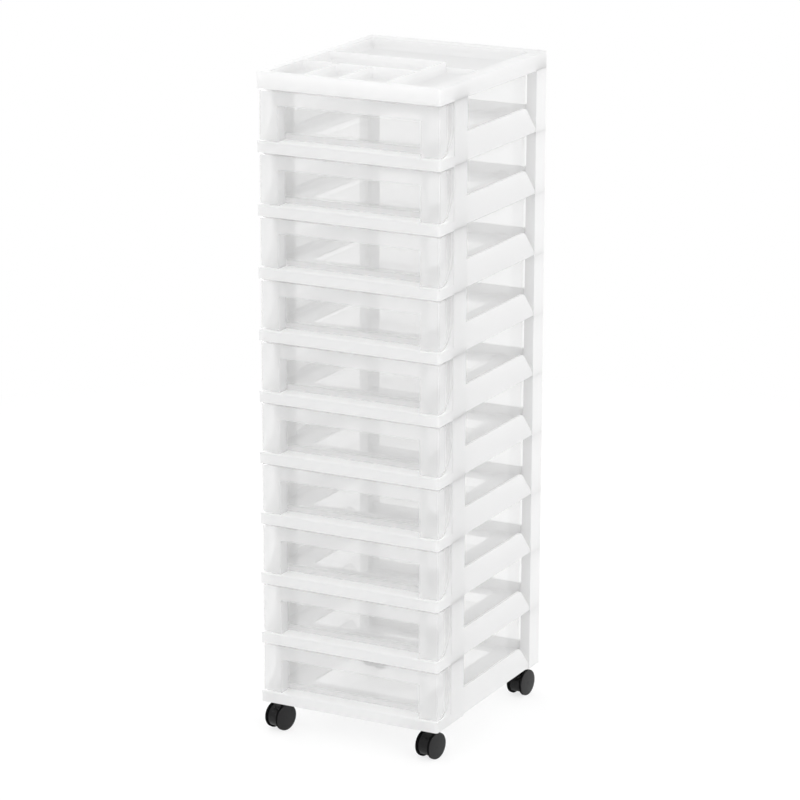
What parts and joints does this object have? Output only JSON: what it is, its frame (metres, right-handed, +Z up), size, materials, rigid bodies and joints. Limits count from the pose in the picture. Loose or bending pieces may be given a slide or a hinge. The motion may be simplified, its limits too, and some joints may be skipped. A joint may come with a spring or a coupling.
{
  "type": "plastic drawer tower",
  "caption": "Tall, narrow rolling storage tower: stacked open frames with translucent pull-out drawers, a compartment tray on top and hooded twin-wheel casters.",
  "frame": {"origin": "on the floor under the middle of the tower: bottom centre of the bounding box", "axes": "+Z up; -Y out of the drawer fronts; +X to the right seen from the front"},
  "size_m": [0.306, 0.362, 1.041],
  "materials": {
    "white_plastic": "satin",
    "drawer_plastic": "translucent, slightly frosted",
    "hood_plastic": "satin",
    "wheel_plastic": "satin",
    "tyre_rubber": "matte",
    "steel": "zinc plated"
  },
  "bodies": {
    "tower": {"organizer_top": "white_plastic", "frame_1": "white_plastic", "frame_2": "white_plastic", "frame_3": "white_plastic", "frame_4": "white_plastic", "frame_5": "white_plastic", "frame_6": "white_plastic", "frame_7": "white_plastic", "frame_8": "white_plastic", "frame_9": "white_plastic", "base_frame": "white_plastic", "caster_front_left_stem": "steel", "caster_front_right_stem": "steel", "caster_rear_left_stem": "steel", "caster_rear_right_stem": "steel"},
    "drawer_1": {"drawer_1": "drawer_plastic"},
    "drawer_2": {"drawer_2": "drawer_plastic"},
    "drawer_3": {"drawer_3": "drawer_plastic"},
    "drawer_4": {"drawer_4": "drawer_plastic"},
    "drawer_5": {"drawer_5": "drawer_plastic"},
    "drawer_6": {"drawer_6": "drawer_plastic"},
    "drawer_7": {"drawer_7": "drawer_plastic"},
    "drawer_8": {"drawer_8": "drawer_plastic"},
    "drawer_9": {"drawer_9": "drawer_plastic"},
    "drawer_10": {"drawer_10": "drawer_plastic"},
    "caster_front_left": {"caster_front_left_hood": "hood_plastic", "caster_front_left_axle": "steel"},
    "caster_front_left_left": {"caster_front_left_wheel_left": "wheel_plastic", "caster_front_left_tyre_left": "tyre_rubber"},
    "caster_front_left_right": {"caster_front_left_wheel_right": "wheel_plastic", "caster_front_left_tyre_right": "tyre_rubber"},
    "caster_front_right": {"caster_front_right_hood": "hood_plastic", "caster_front_right_axle": "steel"},
    "caster_front_right_left": {"caster_front_right_wheel_left": "wheel_plastic", "caster_front_right_tyre_left": "tyre_rubber"},
    "caster_front_right_right": {"caster_front_right_wheel_right": "wheel_plastic", "caster_front_right_tyre_right": "tyre_rubber"},
    "caster_rear_left": {"caster_rear_left_hood": "hood_plastic", "caster_rear_left_axle": "steel"},
    "caster_rear_left_left": {"caster_rear_left_wheel_left": "wheel_plastic", "caster_rear_left_tyre_left": "tyre_rubber"},
    "caster_rear_left_right": {"caster_rear_left_wheel_right": "wheel_plastic", "caster_rear_left_tyre_right": "tyre_rubber"},
    "caster_rear_right": {"caster_rear_right_hood": "hood_plastic", "caster_rear_right_axle": "steel"},
    "caster_rear_right_left": {"caster_rear_right_wheel_left": "wheel_plastic", "caster_rear_right_tyre_left": "tyre_rubber"},
    "caster_rear_right_right": {"caster_rear_right_wheel_right": "wheel_plastic", "caster_rear_right_tyre_right": "tyre_rubber"}
  },
  "joints": [
    {"name": "drawer_1_slide", "type": "slide", "parent": "tower", "child": "drawer_1", "axis": [0, -1, 0], "range_m": [0, 0.26]},
    {"name": "drawer_2_slide", "type": "slide", "parent": "tower", "child": "drawer_2", "axis": [0, -1, 0], "range_m": [0, 0.26]},
    {"name": "drawer_3_slide", "type": "slide", "parent": "tower", "child": "drawer_3", "axis": [0, -1, 0], "range_m": [0, 0.26]},
    {"name": "drawer_4_slide", "type": "slide", "parent": "tower", "child": "drawer_4", "axis": [0, -1, 0], "range_m": [0, 0.26]},
    {"name": "drawer_5_slide", "type": "slide", "parent": "tower", "child": "drawer_5", "axis": [0, -1, 0], "range_m": [0, 0.26]},
    {"name": "drawer_6_slide", "type": "slide", "parent": "tower", "child": "drawer_6", "axis": [0, -1, 0], "range_m": [0, 0.26]},
    {"name": "drawer_7_slide", "type": "slide", "parent": "tower", "child": "drawer_7", "axis": [0, -1, 0], "range_m": [0, 0.26]},
    {"name": "drawer_8_slide", "type": "slide", "parent": "tower", "child": "drawer_8", "axis": [0, -1, 0], "range_m": [0, 0.26]},
    {"name": "drawer_9_slide", "type": "slide", "parent": "tower", "child": "drawer_9", "axis": [0, -1, 0], "range_m": [0, 0.26]},
    {"name": "drawer_10_slide", "type": "slide", "parent": "tower", "child": "drawer_10", "axis": [0, -1, 0], "range_m": [0, 0.26]},
    {"name": "caster_front_left_swivel", "type": "hinge", "parent": "tower", "child": "caster_front_left", "pos_m": [-0.131, -0.149, 0.045], "axis": [0, 0, 1], "continuous": true},
    {"name": "caster_front_left_left_spin", "type": "hinge", "parent": "caster_front_left", "child": "caster_front_left_left", "pos_m": [-0.13307, -0.15673, 0.021], "axis": [-0.9659, 0.2588, 0], "continuous": true},
    {"name": "caster_front_left_right_spin", "type": "hinge", "parent": "caster_front_left", "child": "caster_front_left_right", "pos_m": [-0.13307, -0.15673, 0.021], "axis": [-0.9659, 0.2588, 0], "continuous": true},
    {"name": "caster_front_right_swivel", "type": "hinge", "parent": "tower", "child": "caster_front_right", "pos_m": [0.131, -0.149, 0.045], "axis": [0, 0, 1], "continuous": true},
    {"name": "caster_front_right_left_spin", "type": "hinge", "parent": "caster_front_right", "child": "caster_front_right_left", "pos_m": [0.12947, -0.15685, 0.021], "axis": [-0.9816, 0.1908, 0], "continuous": true},
    {"name": "caster_front_right_right_spin", "type": "hinge", "parent": "caster_front_right", "child": "caster_front_right_right", "pos_m": [0.12947, -0.15685, 0.021], "axis": [-0.9816, 0.1908, 0], "continuous": true},
    {"name": "caster_rear_left_swivel", "type": "hinge", "parent": "tower", "child": "caster_rear_left", "pos_m": [-0.131, 0.149, 0.045], "axis": [0, 0, 1], "continuous": true},
    {"name": "caster_rear_left_left_spin", "type": "hinge", "parent": "caster_rear_left", "child": "caster_rear_left_left", "pos_m": [-0.12934, 0.15682, 0.021], "axis": [0.9781, -0.2079, 0], "continuous": true},
    {"name": "caster_rear_left_right_spin", "type": "hinge", "parent": "caster_rear_left", "child": "caster_rear_left_right", "pos_m": [-0.12934, 0.15682, 0.021], "axis": [0.9781, -0.2079, 0], "continuous": true},
    {"name": "caster_rear_right_swivel", "type": "hinge", "parent": "tower", "child": "caster_rear_right", "pos_m": [0.131, 0.149, 0.045], "axis": [0, 0, 1], "continuous": true},
    {"name": "caster_rear_right_left_spin", "type": "hinge", "parent": "caster_rear_right", "child": "caster_rear_right_left", "pos_m": [0.13184, 0.15696, 0.021], "axis": [0.9945, -0.1045, 0], "continuous": true},
    {"name": "caster_rear_right_right_spin", "type": "hinge", "parent": "caster_rear_right", "child": "caster_rear_right_right", "pos_m": [0.13184, 0.15696, 0.021], "axis": [0.9945, -0.1045, 0], "continuous": true}
  ]
}
